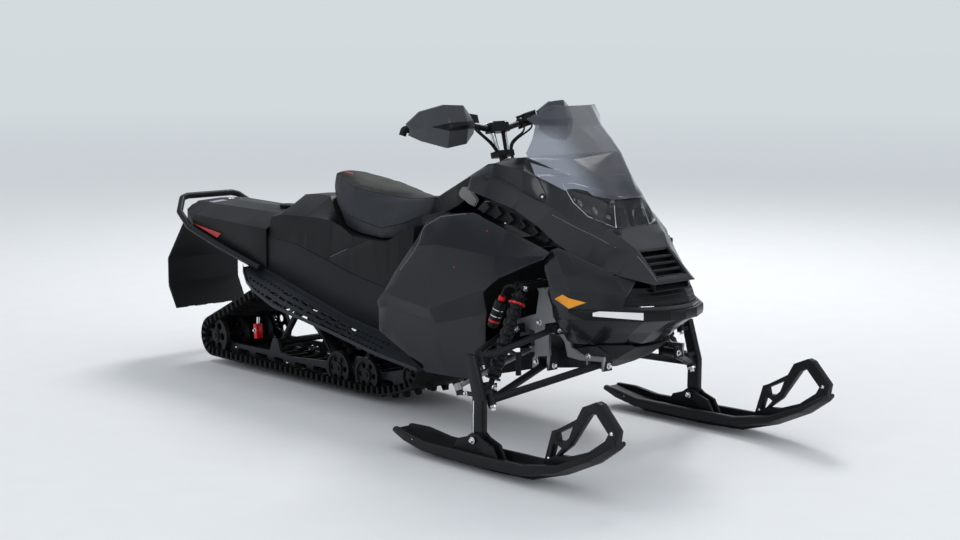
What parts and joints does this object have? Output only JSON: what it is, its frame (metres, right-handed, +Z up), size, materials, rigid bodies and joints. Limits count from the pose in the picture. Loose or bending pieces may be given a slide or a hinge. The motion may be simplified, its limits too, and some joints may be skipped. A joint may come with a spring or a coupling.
{
  "type": "snowmobile",
  "caption": "Tracked snow vehicle with steered skis, a long rear belt in a tunnel, a saddle seat, a faceted hood, a smoked screen and guarded handlebars.",
  "frame": {"origin": "centre of the bounding box's base, on the ground plane under the skis and the belt", "axes": "+X forward to the ski tips, +Y to the rider's left, +Z up"},
  "size_m": [3.13, 1.22, 1.2036],
  "materials": {
    "charcoal_plastic": "matte",
    "hood_grey": "satin",
    "panel_gloss": "gloss",
    "dark_metal": "satin",
    "cast_silver": "satin",
    "rail_alloy": "satin",
    "belt_rubber": "matte",
    "wheel_black": "satin",
    "smoke_screen": "gloss",
    "lens_clear": "gloss",
    "lens_red": "gloss",
    "lens_amber": "gloss",
    "seat_vinyl": "matte",
    "bumper_black": "satin",
    "shock_black": "gloss",
    "engine_grey": "matte",
    "ski_plastic": "satin",
    "guard_grey": "satin",
    "bar_black": "satin",
    "flap_rubber": "matte",
    "spindle_dark": "satin"
  },
  "bodies": {
    "chassis": {"tunnel": "dark_metal", "tail_cover": "charcoal_plastic", "tail_lights": "lens_red", "rear_bumper": "dark_metal", "snow_flap": "flap_rubber", "seat_cushion": "seat_vinyl", "seat_base": "charcoal_plastic", "cargo_cover": "charcoal_plastic", "hood": "hood_grey", "headlights": "lens_clear", "windshield": "smoke_screen", "front_grilles": "charcoal_plastic", "lower_cowl": "hood_grey", "front_bumper": "bumper_black", "belly_pan": "charcoal_plastic", "side_panel_left": "panel_gloss", "side_panel_right": "panel_gloss", "side_louvres": "charcoal_plastic", "console": "charcoal_plastic", "front_frame": "cast_silver", "engine_block": "engine_grey", "upper_arms": "dark_metal", "lower_arms": "dark_metal", "front_shocks": "shock_black", "sway_bar": "dark_metal", "track": "belt_rubber", "slide_rails": "rail_alloy", "track_wheels": "wheel_black", "skid_arms": "dark_metal", "skid_shocks": "shock_black", "drive_axle": "rail_alloy", "side_reflectors": "lens_amber", "running_board_left": "dark_metal", "running_board_right": "dark_metal"},
    "handlebar": {"handlebar": "bar_black", "handguard_left": "guard_grey", "handguard_right": "guard_grey"},
    "spindle_left": {"spindle_left": "spindle_dark"},
    "spindle_right": {"spindle_right": "spindle_dark"},
    "ski_left": {"ski_left": "ski_plastic"},
    "ski_right": {"ski_right": "ski_plastic"},
    "tie_rod_left": {"tie_rod_left": "cast_silver"},
    "tie_rod_right": {"tie_rod_right": "cast_silver"}
  },
  "joints": [
    {"name": "steering", "type": "hinge", "parent": "chassis", "child": "handlebar", "pos_m": [0.415, 0, 1.103], "axis": [-0.309, 0, 0.9511], "range_deg": [-35, 35]},
    {"name": "spindle_left", "type": "hinge", "parent": "chassis", "child": "spindle_left", "pos_m": [0.937, 0.508, 0.23], "axis": [-0.3746, 0, 0.9272], "range_deg": [-28, 28]},
    {"name": "tie_rod_left", "type": "hinge", "parent": "spindle_left", "child": "tie_rod_left", "pos_m": [0.796, 0.53, 0.257], "axis": [-0.3746, 0, 0.9272], "range_deg": [-28, 28]},
    {"name": "ski_pitch_left", "type": "hinge", "parent": "spindle_left", "child": "ski_left", "pos_m": [0.925, 0.55, 0.1], "axis": [0, 1, 0], "range_deg": [-15, 8]},
    {"name": "spindle_right", "type": "hinge", "parent": "chassis", "child": "spindle_right", "pos_m": [0.937, -0.508, 0.23], "axis": [-0.3746, 0, 0.9272], "range_deg": [-28, 28]},
    {"name": "tie_rod_right", "type": "hinge", "parent": "spindle_right", "child": "tie_rod_right", "pos_m": [0.796, -0.53, 0.257], "axis": [-0.3746, 0, 0.9272], "range_deg": [-28, 28]},
    {"name": "ski_pitch_right", "type": "hinge", "parent": "spindle_right", "child": "ski_right", "pos_m": [0.925, -0.55, 0.1], "axis": [0, 1, 0], "range_deg": [-15, 8]}
  ],
  "couplings": [
    {"joint": "spindle_left", "follows": "steering", "ratio": 0.8},
    {"joint": "spindle_right", "follows": "steering", "ratio": 0.8},
    {"joint": "tie_rod_left", "follows": "steering", "ratio": -0.8},
    {"joint": "tie_rod_right", "follows": "steering", "ratio": -0.8}
  ]
}
